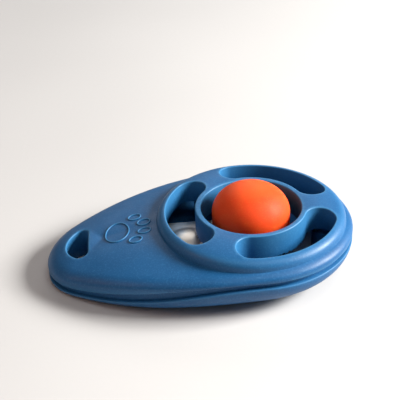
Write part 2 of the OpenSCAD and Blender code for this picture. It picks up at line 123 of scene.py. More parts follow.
# Screws and their bosses
SCREW_CIRCLE_R, SCREW_HEAD_R, SCREW_SEAT, SCREW_HOLE_R = 18.6, 2.4, 4.8, 1.15
JOINT_Z, BOSS_R, LOWER_BOSS_R, SCREW_TOP = 7.2, 2.4, 3.4, 12.1
TAIL_SCREW_X, TAIL_SEAT, TAIL_JOINT, TAIL_SCREW_TOP = -22.0, 2.5, 4.4, 7.6
TURN = 2 * math.pi
CASE_SCREW_PLACES = [(BUTTON_X + SCREW_CIRCLE_R * math.cos(a), SCREW_CIRCLE_R * math.sin(a))
                     for a in (i * TURN / SLOT_COUNT for i in range(SLOT_COUNT))]
SCREW_PLACES = CASE_SCREW_PLACES + [(TAIL_SCREW_X, 0.0)]

# The button's legs and brackets, their guides, and the leaf on its pedestal
LEG_X, LEG_IN, LEG_OUT, LEG_TOP, LEG_BOTTOM = 3.5, 9.0, 13.0, 8.4, 3.4
BRACKET_IN, BRACKET_GAP, BRACKET_TOP, BRACKET_SUNK = 8.4, 0.1, 10.0, 0.15
GUIDE_GAP, GUIDE_WALL, GUIDE_TOP = 0.08, 1.0, 6.0
LEAF_X0, LEAF_X1, LEAF_HALF, LEAF_TOP, LEAF_T = -16.5, 23.0, 7.0, 7.2, 0.35
BEND_X, BEND_HALF, LEAF_CORNER = -8.5, 1.0, 3.0
DIMPLE_X, DIMPLE_R, DIMPLE_RISE, DIMPLE_FILLET = -3.0, 4.4, 0.8, 0.06
CLAMP_SCREW_X, CLAMP_SCREW_Y, CLAMP_HOLE_R, CLAMP_HOLE_BOTTOM = -12.5, 4.0, 0.85, 2.9
PEDESTAL_HALF, PEDESTAL_GAP = 6.5, 0.01

# The button
BUTTON_R, DOME_BASE, DOME_RISE, BUTTON_WALL = 9.5, 13.6, 7.1, 1.6
SKIRT_BOTTOM, SKIRT_LIP_R, STEM_R, STEM_TIP_R, STEM_GAP = 8.6, 0.3, 3.0, 1.0, 0.2

# The paw mark: each oval has its place from PAW_X along and across the case, and its two radii
PAW_X, PAW_LINE_HALF, PAW_RISE, PAW_SUNK, PAW_STEP = -18.0, 0.22, 0.26, 0.15, 0.12
PAW_PAD = (-2.0, 0.0, 2.9, 3.9)
PAW_TOE_PLACES, PAW_TOE_RADII = ((2.4, 4.9), (4.6, 1.85)), (1.55, 1.15)

# The meshes: spacings of points, and half the width of a nearly upright step in a skin
FINE_GRID, INNER_GRID, LEAF_GRID, TABLE_GRID = 0.62, 1.0, 0.9, 1.5
GRID_REACH_X, GRID_REACH_Y = 38, 26
CURVE_STEP, SMALL_STEP, MERGE = 0.35, 0.25, 1e-7
LEAST_POINTS, CORNER_POINTS = 24, 5
HALF_STEP, TONGUE_HALF_STEP = 0.02, 0.01
CLEAR, WELL_CLEAR = 0.1, 0.3
CORNER_R, SHARP_CORNER_R = 0.4, 0.02
SIDES = (-1, 1)

# ---------------------------------------------------------------- heights, mm


def arc_drop(x, apex, radius):
    """How far a large arc lies below its apex."""
    return (x - apex) ** 2 / (2 * radius)


def seam_z(x):
    """The upper shell's lower edge: an S-curve that rises along the tail and is then nearly level."""
    t = np.clip((x - SEAM_START_X) / (SEAM_LEVEL_X - SEAM_START_X), 0, 1)
    return SEAM_LOW + SEAM_RISE * (1 - np.cos(math.pi * t)) / 2 - SEAM_TILT * x


def along_tail(x, reach):
    """0 at the tip, 1 from a distance on."""
    return np.clip((x + CASE_LENGTH / 2) / reach, 0, 1)


def rim_z(x):
    """The lower shell's rim, under a shadow gap that is widest halfway along the tail."""
    return seam_z(x) - SHADOW_GAP - TAIL_GAP * np.sin(math.pi * along_tail(x, TAIL_GAP_REACH)) ** 2


def deck_line(x):
    """Height of the top of the rounded edge."""
    return DECK_TOP - arc_drop(x, DECK_APEX_X, DECK_ARC_R)


def crown_at(x):
    """How much the deck's ridge rises above its edge."""
    return CROWN * np.sin(math.pi / 2 * along_tail(x, CROWN_REACH))


def foot(x, y):
    """Inset from the outline, x of the outline's nearest point, half width there, and the ridge's x."""
    ay = np.abs(y)
    round_a = np.arctan2(ay, x - BUTTON_X)
    tip_a = np.arctan2(ay, x - TIP_X)
    side_a = np.arctan2(ay + SIDE_DROP, x - SIDE_X)
    at_round = (side_a <= ROUND_ANGLE)
    at_tip = (side_a >= TIP_ANGLE)
    cx = np.where(at_round, BUTTON_X, np.where(at_tip, TIP_X, SIDE_X))
    cy = np.where(at_round | at_tip, 0.0, -SIDE_DROP)
    r = np.where(at_round, ROUND_R, np.where(at_tip, TIP_R, SIDE_R))
    a = np.where(at_round, round_a, np.where(at_tip, tip_a, side_a))
    inset = r - np.hypot(x - cx, ay - cy)
    edge_x = cx + r * np.cos(a)
    edge_y = cy + r * np.sin(a)
    half = np.where(at_round | at_tip, r, edge_y / np.maximum(np.sin(a), 1e-6))
    return inset, edge_x, half, edge_x - half * np.cos(a)


def deck_z(x, y):
    """Height of the deck: a rounded edge, and a crown that grows from the edge to the ridge."""
    inset, edge_x, half, ridge_x = foot(x, y)
    start = deck_line(edge_x)
    to_edge = 1 - np.clip(inset / EDGE_RUN, 0, 1)
    to_ridge = 1 - np.clip(inset / half, 0, 1)
    ridge_rise = deck_line(ridge_x) + crown_at(ridge_x) - start
    return start - EDGE_RISE * (1 - np.sqrt(1 - to_edge ** 2)) + ridge_rise * (1 - to_ridge ** 2)


def ring_z(r):
    """Height of the raised ring at a distance from the button axis: crest, shoulder, steep outer wall."""
    crest = RING_TOP - arc_drop(r, CREST_R, CREST_ARC_R)
    shoulder_start = RING_FOOT_R - SHOULDER_R
    base = RING_TOP - arc_drop(shoulder_start, CREST_R, CREST_ARC_R)
    t = np.clip((r - shoulder_start) / SHOULDER_R, 0, 1)
    tilt = (shoulder_start - CREST_R) / CREST_ARC_R
    shoulder = base - SHOULDER_R * (1 - np.sqrt(1 - t ** 2)) - tilt * SHOULDER_R * t * (1 - t)
    wall_z = base - SHOULDER_R - (r - RING_FOOT_R) * RING_WALL_SLOPE
    return np.where(r < shoulder_start, crest, np.where(r < RING_FOOT_R, shoulder, wall_z))


def smooth_max(a, b, radius):
    """The larger of two heights, with the inside corner filled by a soft fillet."""
    h = np.clip(0.5 + 0.5 * (a - b) / radius, 0, 1)
    return b + (a - b) * h + radius * h * (1 - h)


def top_z(x, y):
    """The deck and the ring together, without the lips of the openings."""
    r = np.hypot(x - BUTTON_X, y)
    return smooth_max(ring_z(r), deck_z(x, y), RING_FILLET_R)


def polar(x, y):
    """Distance and angle round the button axis."""
    return np.hypot(x - BUTTON_X, y), np.arctan2(y, x - BUTTON_X)


def past_slots(x, y):
    """Distance outwards from the edge of the nearest sound slot; negative inside one."""
    r, a = polar(x, y)
    pitch = TURN / SLOT_COUNT
    a = (a - math.pi + pitch / 2) % pitch - pitch / 2
    end_x, end_y = SLOT_MID * math.cos(SLOT_HALF), SLOT_MID * math.sin(SLOT_HALF)
    to_end = np.hypot(r * np.cos(a) - end_x, np.abs(r * np.sin(a)) - end_y)
    return np.where(np.abs(a) < SLOT_HALF, np.abs(r - SLOT_MID), to_end) - SLOT_CAP


def past_hole(x, y):
    """Distance outwards from the edge of the lanyard hole; negative inside it."""
    ay = np.abs(y)
    round_part = np.hypot(x - HOLE_ARC_X, y) - HOLE_ARC_R
    at_corner = np.hypot(x - HOLE_CORNER_X, ay - HOLE_CORNER_Y) - HOLE_CORNER
    flat = x - HOLE_FLAT_X
    bend = np.arctan2(ay, x - HOLE_ARC_X)
    front = np.where(ay > HOLE_CORNER_Y, at_corner, flat)
    return np.where(x > HOLE_CORNER_X, front, np.where(bend > HOLE_BEND, round_part, at_corner))


def lip_drop(distance, radius=LIP_R):
    """How far a surface rounds over at a distance from the edge of an opening."""
    t = np.clip(1 - distance / radius, 0, 1)
    return radius * (1 - np.sqrt(1 - t ** 2))


def upper_outer_z(x, y):
    """The upper shell's outer skin, rounded over at every opening."""
    r, _ = polar(x, y)
    nearest = np.minimum(np.minimum(past_slots(x, y), r - WELL_R), past_hole(x, y))
    return top_z(x, y) - lip_drop(nearest)


def upper_inner_z(x, y):
    """The upper shell's inner skin: edge, step over the tongue, deck, ring's roof, linings and tube."""
    inset, edge_x, _, _ = foot(x, y)
    r, _ = polar(x, y)
    seam = seam_z(edge_x)
    step = seam + TONGUE_RISE + TONGUE_GAP
    edge = seam + lip_drop(inset, SEAM_LIP_R)
    under = np.maximum(deck_z(x, y) - WALL, step)
    skin = np.where(inset < RABBET_IN, edge, np.where(inset < RABBET_OUT, step, under))
    skin = np.where(r < ROOF_R, RING_UNDER, skin)
    skin = np.where(past_slots(x, y) < LINING, LINING_BOTTOM, skin)
    return np.where(r < SLOT_IN, TUBE_BOTTOM, skin)


def dish_run(x):
    """Width of the lower shell's rounded edge, which grows from the tip to the round end."""
    return DISH_RUN + DISH_RUN_GROWTH * np.sin(math.pi / 2 * along_tail(x, CASE_LENGTH))


def dish_z(x, y, floor=0.0, moved_in=0.0):
    """The lower shell's outer skin, or its inner one with a floor height and an inset."""
    inset, edge_x, _, _ = foot(x, y)
    rise = np.maximum(rim_z(edge_x) - floor, LEAST_RISE)
    run = dish_run(edge_x) - moved_in / 2
    t = np.clip(1 - (inset - moved_in) / run, 0, 1)
    return floor + rise * (1 - np.sqrt(1 - t ** 2))


def lower_outer_z(x, y):
    """The lower shell's outer skin, rounded over at the lanyard hole and at the screw recesses."""
    _, edge_x, _, _ = foot(x, y)
    z = dish_z(x, y) + lip_drop(past_hole(x, y))
    for cx, cy in SCREW_PLACES:
        z = z + lip_drop(np.hypot(x - cx, y - cy) - SCREW_HEAD_R, SEAM_LIP_R)
    return np.minimum(z, rim_z(edge_x) - 2 * SEAM_LIP_R)


def lower_inner_z(x, y):
    """The lower shell's inner skin: its rim, the tongue on it, the inner wall and the floor."""
    inset, edge_x, _, _ = foot(x, y)
    rim = rim_z(edge_x)
    inner = np.minimum(dish_z(x, y, FLOOR_T, WALL), rim)
    tongue = seam_z(edge_x) + TONGUE_RISE
    return np.where(inset < TONGUE_INSET, rim - lip_drop(inset, SEAM_LIP_R),
                    np.where(inset < TONGUE_INSET + TONGUE_T, tongue, inner))


# ---------------------------------------------------------------- closed curves in plan, mm


def arc_points(cx, cy, r, start, end, n):
    """n points along an arc, without the one at its end."""
    a = start + (end - start) * np.arange(n) / n
    return np.c_[cx + r * np.cos(a), cy + r * np.sin(a)]


def line_points(x0, y0, x1, y1, n):
    """n points along a straight line, without the one at its end."""
    t = np.arange(n)[:, None] / n
    return np.array([[x0, y0]]) + t * np.array([[x1 - x0, y1 - y0]])


def circle(r, cx=BUTTON_X, cy=0.0, step=CURVE_STEP, like=None):
    """A circle with points about a step apart, or with as many as a circle of radius like."""
    return arc_points(cx, cy, r, 0, TURN, max(LEAST_POINTS, int(TURN * (like or r) / step)))


def outline(inset, step=CURVE_STEP):
    """The case's outline moved inwards, with the same number of points at every inset."""
    n_round = int(2 * ROUND_ANGLE * ROUND_R / step)
    n_side = int((TIP_ANGLE - ROUND_ANGLE) * SIDE_R / step)
    n_tip = int((TURN - 2 * TIP_ANGLE) * TIP_R / step)
    side_r = SIDE_R - inset
    return np.vstack([
        arc_points(BUTTON_X, 0, ROUND_R - inset, -ROUND_ANGLE, ROUND_ANGLE, n_round),
        arc_points(SIDE_X, -SIDE_DROP, side_r, ROUND_ANGLE, TIP_ANGLE, n_side),
        arc_points(TIP_X, 0, TIP_R - inset, TIP_ANGLE, TURN - TIP_ANGLE, n_tip),
        arc_points(SIDE_X, SIDE_DROP, side_r, -TIP_ANGLE, -ROUND_ANGLE, n_side)])


def slot_curve(index, grow, step=CURVE_STEP):
    """One sound slot, grown outwards: two arcs that follow the ring, and two round ends."""
    mid = math.pi + TURN * index / SLOT_COUNT
    a0, a1 = mid - SLOT_HALF, mid + SLOT_HALF
    n_side, n_cap = int((a1 - a0) * SLOT_OUT / step), int(math.pi * SLOT_CAP / step)

    def cap(a, start):
        cx, cy = BUTTON_X + SLOT_MID * math.cos(a), SLOT_MID * math.sin(a)
        return arc_points(cx, cy, SLOT_CAP + grow, start, start + math.pi, n_cap)

    return np.vstack([arc_points(BUTTON_X, 0, SLOT_OUT + grow, a0, a1, n_side), cap(a1, a1),
                      arc_points(BUTTON_X, 0, SLOT_IN - grow, a1, a0, n_side), cap(a0, a0 + math.pi)])


def hole_curve(grow, step=SMALL_STEP):
    """The D-shaped lanyard hole, grown outwards, with the same number of points at every size."""
    n = int(2 * HOLE_CORNER_Y / step)
    flat_y = -HOLE_CORNER_Y + 2 * HOLE_CORNER_Y * np.arange(n) / n
    flat = np.c_[np.full(n, HOLE_FLAT_X + grow), flat_y]
    n_corner = int(HOLE_BEND * HOLE_CORNER / step) + 2
    n_back = int((TURN - 2 * HOLE_BEND) * HOLE_ARC_R / step)
    corner_r, back_r = HOLE_CORNER + grow, HOLE_ARC_R + grow
    return np.vstack([
        flat, arc_points(HOLE_CORNER_X, HOLE_CORNER_Y, corner_r, 0, HOLE_BEND, n_corner),
        arc_points(HOLE_ARC_X, 0, back_r, HOLE_BEND, TURN - HOLE_BEND, n_back),
        arc_points(HOLE_CORNER_X, -HOLE_CORNER_Y, corner_r, TURN - HOLE_BEND, TURN, n_corner)])


def box_curve(x0, x1, y0, y1, corner=CORNER_R, per_side=24):
    """A rectangle with rounded corners, with a set number of points."""
    centres = [(x1 - corner, y1 - corner), (x0 + corner, y1 - corner),
               (x0 + corner, y0 + corner), (x1 - corner, y0 + corner)]
    points = []
    for i, (cx, cy) in enumerate(centres):
        start, end = i * TURN / 4, (i + 1) * TURN / 4
        out_x, out_y = corner * math.cos(end), corner * math.sin(end)
        next_x, next_y = centres[(i + 1) % len(centres)]
        points.append(arc_points(cx, cy, corner, start, end, CORNER_POINTS))
        points.append(line_points(cx + out_x, cy + out_y, next_x + out_x, next_y + out_y, per_side))
    return np.vstack(points)


def inside(points, curve):
    """Which points lie inside a closed curve."""
    x, y = points[:, 0], points[:, 1]
    result = np.zeros(len(points), bool)
    x0, y0 = curve[:, 0], curve[:, 1]
    x1, y1 = np.roll(x0, -1), np.roll(y0, -1)
    for ax, ay, bx, by in zip(x0, y0, x1, y1):
        if ay == by:
            continue
        crosses = ((ay > y) != (by > y)) & (x < (bx - ax) * (y - ay) / (by - ay) + ax)
        result ^= crosses
    return result


def in_plan(points, border, holes):
    """Which points lie inside the border and outside every hole."""
    result = inside(points, border)
    for hole in holes:
        result &= ~inside(points, hole)
    return result


# ---------------------------------------------------------------- skins and walls


def hex_grid(spacing):
    """A staggered grid of points over the whole plan."""
    rows = np.arange(-GRID_REACH_Y, GRID_REACH_Y, spacing * math.sqrt(3) / 2)
    points = []
    for i, y in enumerate(rows):
        x = np.arange(-GRID_REACH_X, GRID_REACH_X, spacing) + (spacing / 2 if i % 2 else 0)
        points.append(np.c_[x, np.full(len(x), y)])
    return np.vstack(points)


def filling(border, holes, fixed, spacing):
    """Grid points that fill a plan without coming close to the fixed points."""
    grid = hex_grid(spacing)
    grid = grid[in_plan(grid, border, holes)]
    tree = KDTree(len(fixed))
    for i, (x, y) in enumerate(fixed):
        tree.insert((x, y, 0), i)
    tree.balance()
    return grid[[tree.find((x, y, 0))[2] > spacing / 2 for x, y in grid]]


def stretches(curves):
    """Where each curve starts in the list of all their points, and how many points it has."""
    start = 0
    for curve in curves:
        yield start, len(curve)
        start += len(curve)


def triangulate(points, curves):
    """Points in plan, triangles that keep every edge of the curves, and where each old point went."""
    edges = [(start + i, start + (i + 1) % n) for start, n in stretches(curves) for i in range(n)]
    verts, _, tris, origin, _, _ = delaunay_2d_cdt([Vector(p) for p in points], edges, [], 0, MERGE, True)
    new_place = {old: new for new, olds in enumerate(origin) for old in olds}
    return np.array([(v.x, v.y) for v in verts]), np.array(tris), new_place


class Shell:
    """Collects vertices and faces of one closed mesh, in mm."""

    def __init__(self):
        self.points, self.faces, self.count = [], [], 0

    def add_points(self, xyz):
        """Adds vertices and returns their numbers."""
        start = self.count
        self.points.append(np.asarray(xyz, float))
        self.count += len(xyz)
        return start + np.arange(len(xyz))

    def strip(self, lower, upper):
        """Quads between two closed rings of the same length."""
        a, b = np.asarray(lower), np.asarray(upper)
        self.faces += np.c_[a, np.roll(a, -1), np.roll(b, -1), b].tolist()

    def cap(self, ring, middle):
        """A fan of triangles from a closed ring to a point in its middle."""
        tip = int(self.add_points([middle])[0])
        self.faces += [[int(a), int(b), tip] for a, b in zip(ring, np.roll(ring, -1))]

    def chain(self, loop, rings, close=None):
        """Walls from a loop of vertices through a list of rings, ending on a loop or with a cap."""
        for ring in rings:
            here = self.add_points(ring)
            self.strip(loop, here)
            loop = here
        if close is None:
            self.cap(loop, np.mean(rings[-1], axis=0))
        else:
            self.strip(loop, close)

    def skin(self, border, holes, rings, height, spacing, up=True, extra=None):
        """A triangulated height field inside the border and outside the holes.

        Returns the vertices of the border and of each hole's edge, in order."""
        curves = [border] + holes + rings
        fixed = np.vstack(curves + ([extra] if extra is not None else []))
        points = np.vstack([fixed, filling(border, holes, fixed, spacing)])
        flat, tris, new_place = triangulate(points, curves)
        tris = tris[in_plan(flat[tris].mean(axis=1), border, holes)]
        ids = self.add_points(np.c_[flat, height(flat[:, 0], flat[:, 1])])
        self.faces += (ids[tris] if up else ids[tris[:, ::-1]]).tolist()
        return [[int(ids[new_place[start + i]]) for i in range(n)]
                for start, n in stretches([border] + holes)]

    def mesh(self, name):
        """The collected faces as mesh data in metres, kept inside the CAD box."""
        points = np.clip(np.vstack(self.points) * MM, *(np.array(v) for v in CAD_BOX))
        used = sorted({i for f in self.faces for i in f})
        renumber = {old: new for new, old in enumerate(used)}
        data = bpy.data.meshes.new(name)
        data.from_pydata(points[used].tolist(), [], [[renumber[i] for i in f] for f in self.faces])
        data.update()
        return data


def round_steps(radius, angles):
    """Distances from an edge at which a rounding has turned by the angles."""
    return [radius * (1 - math.cos(math.radians(a))) for a in angles]


LIP_STEPS = round_steps(LIP_R, (15, 32, 50, 70, 90))
SEAM_STEPS = round_steps(SEAM_LIP_R, (25, 55, 90))
EDGE_STEPS = round_steps(EDGE_RUN, (8, 16, 25, 34, 43, 53, 62))
DISH_STEPS = (0.05, 0.15, 0.3, 0.5, 0.8, 1.1, 1.5, 1.9)
RING_WALL_STEPS = (0.04, 0.08, 0.13, 0.2, 0.3)
DIMPLE_STEPS = (1.0, 0.985, 0.965, 0.94, 0.9, 0.8, 0.65, 0.45, 0.25)


def both_sides(place, half=HALF_STEP):
    """The two places that a step in a skin lies between."""
    return [place - half, place + half]


def high(ring, z):
    """The ring's points in plan, at a height or at a height for each point."""
    z = z(ring[:, 0], ring[:, 1]) if callable(z) else np.full(len(ring), float(z))
    return np.c_[ring, z]


def finish_mesh(shell, name, sharp=CREASE):
    """An object from the collected faces, with its faces turned outwards and its creases kept."""
    data = shell.mesh(name)
    bm = bmesh.new()
    bm.from_mesh(data)
    bmesh.ops.remove_doubles(bm, verts=bm.verts, dist=SAME_PLACE)
    bmesh.ops.dissolve_degenerate(bm, edges=bm.edges, dist=SAME_PLACE)
    bmesh.ops.recalc_face_normals(bm, faces=bm.faces)
    bm.to_mesh(data)
    bm.free()
    data.shade_smooth()
    data.set_sharp_from_angle(angle=math.radians(sharp))
    obj = bpy.data.objects.new(name, data)
    bpy.context.scene.collection.objects.link(obj)
    return obj


def land_points():
    """Points round the tube and the slots' linings, where they are clear of every other edge."""
    curves = [slot_curve(i, d) for i in range(SLOT_COUNT) for d in both_sides(LINING)]
    points = np.vstack(curves + [circle(r) for r in both_sides(SLOT_IN)])
    x, y = points[:, 0], points[:, 1]
    r, _ = polar(x, y)
    clear = (past_slots(x, y) > CLEAR) & (r > WELL_R + WELL_CLEAR) & (np.abs(r - ROOF_R) > CLEAR)
    for cx, cy in CASE_SCREW_PLACES:
        clear &= np.hypot(x - cx, y - cy) > BOSS_R + CLEAR
    hidden = (r < SLOT_IN - CLEAR / 2) & (past_slots(x, y) > LINING - CLEAR)
    return points[clear & ~hidden]


def build_upper_shell():
    """The outer and inner skins, the walls of the openings, the collar, and the screw bosses."""
    shell = Shell()
    well = circle(WELL_R)
    slots = [slot_curve(i, 0) for i in range(SLOT_COUNT)]
    hole = hole_curve(0)
    rings = [outline(d) for d in EDGE_STEPS]
    shoulder = [RING_FOOT_R - SHOULDER_R * (1 - math.sin(math.radians(a))) for a in range(20, 91, 10)]
    wall = [RING_FOOT_R + d for d in RING_WALL_STEPS]
    rings += [circle(r, like=RING_FOOT_R) for r in shoulder + wall]
    rings += [slot_curve(i, d) for d in LIP_STEPS for i in range(SLOT_COUNT)]
    rings += [circle(WELL_R + d, like=WELL_R) for d in LIP_STEPS] + [hole_curve(d) for d in LIP_STEPS]
    *tops, top_hole = shell.skin(outline(0), [well] + slots + [hole], rings, upper_outer_z, FINE_GRID)

    inner_rings = [outline(d) for d in SEAM_STEPS + both_sides(RABBET_IN) + both_sides(RABBET_OUT)]
    inner_rings += [circle(r, like=ROOF_R) for r in both_sides(ROOF_R)]
    collar = hole_curve(COLLAR_WALL)
    bosses = [circle(BOSS_R, cx, cy) for cx, cy in SCREW_PLACES]
    under = shell.skin(outline(0), [well] + slots + [collar] + bosses, inner_rings,
                       upper_inner_z, INNER_GRID, up=False, extra=land_points())

    under, under_collar, boss_edges = under[:len(tops)], under[len(tops)], under[len(tops) + 1:]
    for a, b in zip(tops, under):
        shell.strip(a, b)
    joint = COLLAR_JOINT + HALF_STEP
    shell.chain(top_hole, [high(hole, joint), high(collar, joint)], under_collar)
    heights = [(JOINT_Z, SCREW_TOP)] * SLOT_COUNT + [(TAIL_JOINT, TAIL_SCREW_TOP)]
    for edge, boss, place, (joint, end) in zip(boss_edges, bosses, SCREW_PLACES, heights):
        bore = (boss - place) * (SCREW_HOLE_R / BOSS_R) + place
        shell.chain(edge, [high(boss, joint), high(bore, joint), high(bore, end)])
    return finish_mesh(shell, "upper_case_body")


def around_leg(side, gap, corner):
    """A rectangle round one of the button's legs, at a gap from it."""
    y0, y1 = sorted((side * (LEG_IN - gap), side * (LEG_OUT + gap)))
    return box_curve(BUTTON_X - LEG_X - gap, BUTTON_X + LEG_X + gap, y0, y1, corner)


def clamp_bores():
    """The holes of the two screws that clamp the leaf."""
    return [circle(CLAMP_HOLE_R, CLAMP_SCREW_X, side * CLAMP_SCREW_Y) for side in SIDES]


def build_lower_shell():
    """The dish's two skins, the collar, the screw bosses, the guides and the leaf's pedestal."""
    shell = Shell()
    hole, collar = hole_curve(0), hole_curve(COLLAR_WALL)
    recesses = [circle(SCREW_HEAD_R, cx, cy, SMALL_STEP) for cx, cy in SCREW_PLACES]
    rings = [outline(d) for d in DISH_STEPS] + [hole_curve(d) for d in LIP_STEPS]
    rings += [circle(SCREW_HEAD_R + d, cx, cy, SMALL_STEP, like=SCREW_HEAD_R)
              for d in SEAM_STEPS for cx, cy in SCREW_PLACES]
    under_rim, under_hole, *recess_edges = shell.skin(
        outline(0), [hole] + recesses, rings, lower_outer_z, FINE_GRID, up=False)

    n = len(recesses[0])
    bosses = [arc_points(cx, cy, LOWER_BOSS_R, 0, TURN, n) for cx, cy in SCREW_PLACES]
    guides = [around_leg(side, GUIDE_GAP + GUIDE_WALL, CORNER_R) for side in SIDES]
    pedestal = box_curve(LEAF_X0, BEND_X, -PEDESTAL_HALF, PEDESTAL_HALF)
    tongue_out = TONGUE_INSET + TONGUE_T
    steps = both_sides(TONGUE_INSET, TONGUE_HALF_STEP)
    steps += [tongue_out - TONGUE_HALF_STEP, tongue_out + HALF_STEP]
    inner_rings = [outline(d) for d in SEAM_STEPS + steps]
    inner_rim, inner_collar, *others = shell.skin(
        outline(0), [collar] + bosses + guides + [pedestal], inner_rings, lower_inner_z, INNER_GRID)
    boss_edges, guide_edges, pedestal_edge = others[:len(bosses)], others[len(bosses):-1], others[-1]
    shell.strip(under_rim, inner_rim)
    joint = COLLAR_JOINT - HALF_STEP
    shell.chain(under_hole, [high(hole, joint), high(collar, joint)], inner_collar)

    heights = [(SCREW_SEAT, JOINT_Z)] * SLOT_COUNT + [(TAIL_SEAT, TAIL_JOINT)]
    for i, ((cx, cy), (seat, top)) in enumerate(zip(SCREW_PLACES, heights)):
        bore = arc_points(cx, cy, SCREW_HOLE_R, 0, TURN, n)
        walls = [high(recesses[i], seat), high(bore, seat), high(bore, top), high(bosses[i], top)]
        shell.chain(recess_edges[i], walls, boss_edges[i])
    for side, guide, edge in zip(SIDES, guides, guide_edges):
        pocket = around_leg(side, GUIDE_GAP, SHARP_CORNER_R)
        shell.chain(edge, [high(guide, GUIDE_TOP), high(pocket, GUIDE_TOP), high(pocket, FLOOR_T)])
    table_z = LEAF_TOP - LEAF_T - PEDESTAL_GAP
    shell.strip(pedestal_edge, shell.add_points(high(pedestal, table_z)))
    bores = clamp_bores()
    _, *bore_edges = shell.skin(pedestal, bores, [], lambda x, y: np.full_like(x, table_z), TABLE_GRID)
    for edge, bore in zip(bore_edges, bores):
        shell.chain(edge, [high(bore, CLAMP_HOLE_BOTTOM)])
    return finish_mesh(shell, "lower_case_body")


def build_leaf():
    """The leaf as one strip of steel, with its dimple and the clamp's two holes."""
    def lift(x, y):
        d = np.hypot(x - DIMPLE_X, y)
        cap = DIMPLE_RISE * (1 - (d / DIMPLE_R) ** 2)
        return np.where(d < DIMPLE_R, smooth_max(cap, 0 * cap, DIMPLE_FILLET), 0)

    def under_side(x, y):
        return LEAF_TOP - LEAF_T + lift(x, y)

    shell = Shell()
    c = LEAF_CORNER
    n_corner, n_side, n_root, n_tip = 20, 60, 24, 14
    border = np.vstack([
        arc_points(LEAF_X1 - c, LEAF_HALF - c, c, 0, TURN / 4, n_corner),
        line_points(LEAF_X1 - c, LEAF_HALF, LEAF_X0, LEAF_HALF, n_side),
        line_points(LEAF_X0, LEAF_HALF, LEAF_X0, -LEAF_HALF, n_root),
        line_points(LEAF_X0, -LEAF_HALF, LEAF_X1 - c, -LEAF_HALF, n_side),
        arc_points(LEAF_X1 - c, c - LEAF_HALF, c, -TURN / 4, 0, n_corner),
        line_points(LEAF_X1, c - LEAF_HALF, LEAF_X1, LEAF_HALF - c, n_tip)])
    bores = clamp_bores()
    rings = [circle(DIMPLE_R * t, DIMPLE_X, like=DIMPLE_R) for t in DIMPLE_STEPS]
    top = shell.skin(border, bores, rings, lambda x, y: LEAF_TOP + lift(x, y), LEAF_GRID)
    under = shell.skin(border, bores, rings, under_side, LEAF_GRID, up=False)
    for a, b in zip(top, under):
        shell.strip(a, b)
    return finish_mesh(shell, "click_leaf_strip", sharp=SOFT_CREASE)


def lathe(shell, profile, segments=160):
    """A closed solid turned round the button axis; the profile starts and ends on the axis."""
    loops = [shell.add_points(high(arc_points(BUTTON_X, 0, r, 0, TURN, segments), z))
             for r, z in profile[1:-1]]
    for a, b in zip(loops, loops[1:]):
        shell.strip(a, b)
    for loop, (_, z) in ((loops[0], profile[0]), (loops[-1], profile[-1])):
        shell.cap(loop, (BUTTON_X, 0, z))


def build_button():
    """The domed button, its stem, and its two legs."""
    def dome(radius, rise, a):
        return radius * math.cos(a), DOME_BASE + rise * math.sin(a)

    outer = [dome(BUTTON_R, DOME_RISE, a) for a in np.radians(np.linspace(90, 0, 46))]
    outer[0] = (0.0, DOME_BASE + DOME_RISE)
    r_in, rise_in = BUTTON_R - BUTTON_WALL, DOME_RISE - BUTTON_WALL
    stem_meets = math.acos(STEM_R / r_in)
    inner = [dome(r_in, rise_in, a) for a in np.linspace(0, stem_meets, 16)]
    skirt = [(BUTTON_R - SKIRT_LIP_R * (1 - math.cos(a)), SKIRT_BOTTOM + SKIRT_LIP_R * (1 - math.sin(a)))
             for a in np.radians([0, 30, 60, 90])]
    stem_bottom = LEAF_TOP + STEM_GAP
    profile = outer + skirt + [(r_in, SKIRT_BOTTOM)] + inner
    profile += [(STEM_R, SKIRT_BOTTOM), (STEM_TIP_R, stem_bottom), (0.0, stem_bottom)]
    shell = Shell()
    lathe(shell, profile)
    body = finish_mesh(shell, "button_cap")
    bracket_end = math.sqrt((WELL_R - BRACKET_GAP) ** 2 - LEG_X ** 2)
    for side in SIDES:
        leg = leg_block("leg", side, LEG_IN, LEG_OUT, LEG_BOTTOM, LEG_TOP)
        bracket = leg_block("bracket", side, BRACKET_IN, bracket_end, LEG_TOP - BRACKET_SUNK, BRACKET_TOP)
        for block in (bracket, leg):
            join_solid(body, block)
    body.data.shade_smooth()
    body.data.set_sharp_from_angle(angle=math.radians(CREASE))
    return body


def leg_block(name, side, y_in, y_out, z0, z1, soft=0.25):
    """A block as wide as a leg, with round upright edges and a chamfer round its bottom and its top."""
    x0, x1 = BUTTON_X - LEG_X, BUTTON_X + LEG_X
    y0, y1 = sorted((side * y_in, side * y_out))
    wide = box_curve(x0, x1, y0, y1, corner=2 * soft, per_side=4)
    slim = box_curve(x0 + soft, x1 - soft, y0 + soft, y1 - soft, corner=soft, per_side=4)
    shell = Shell()
    bottom = shell.add_points(high(slim, z0))
    shell.chain(bottom, [high(wide, z0 + soft), high(wide, z1 - soft), high(slim, z1)])
    shell.cap(bottom, np.mean(high(slim, z0), axis=0))
    return finish_mesh(shell, name)


def join_solid(obj, other):
    """Makes the union of two closed meshes the mesh of the first, and removes the second."""
    modifier = obj.modifiers.new("join", "BOOLEAN")
    modifier.operation = "UNION"
    modifier.solver = "EXACT"
    modifier.object = other
    bpy.context.view_layer.update()
    joined = obj.evaluated_get(bpy.context.evaluated_depsgraph_get())
    data = bpy.data.meshes.new_from_object(joined)
    obj.modifiers.clear()
    obj.data = data
    bpy.data.objects.remove(other)


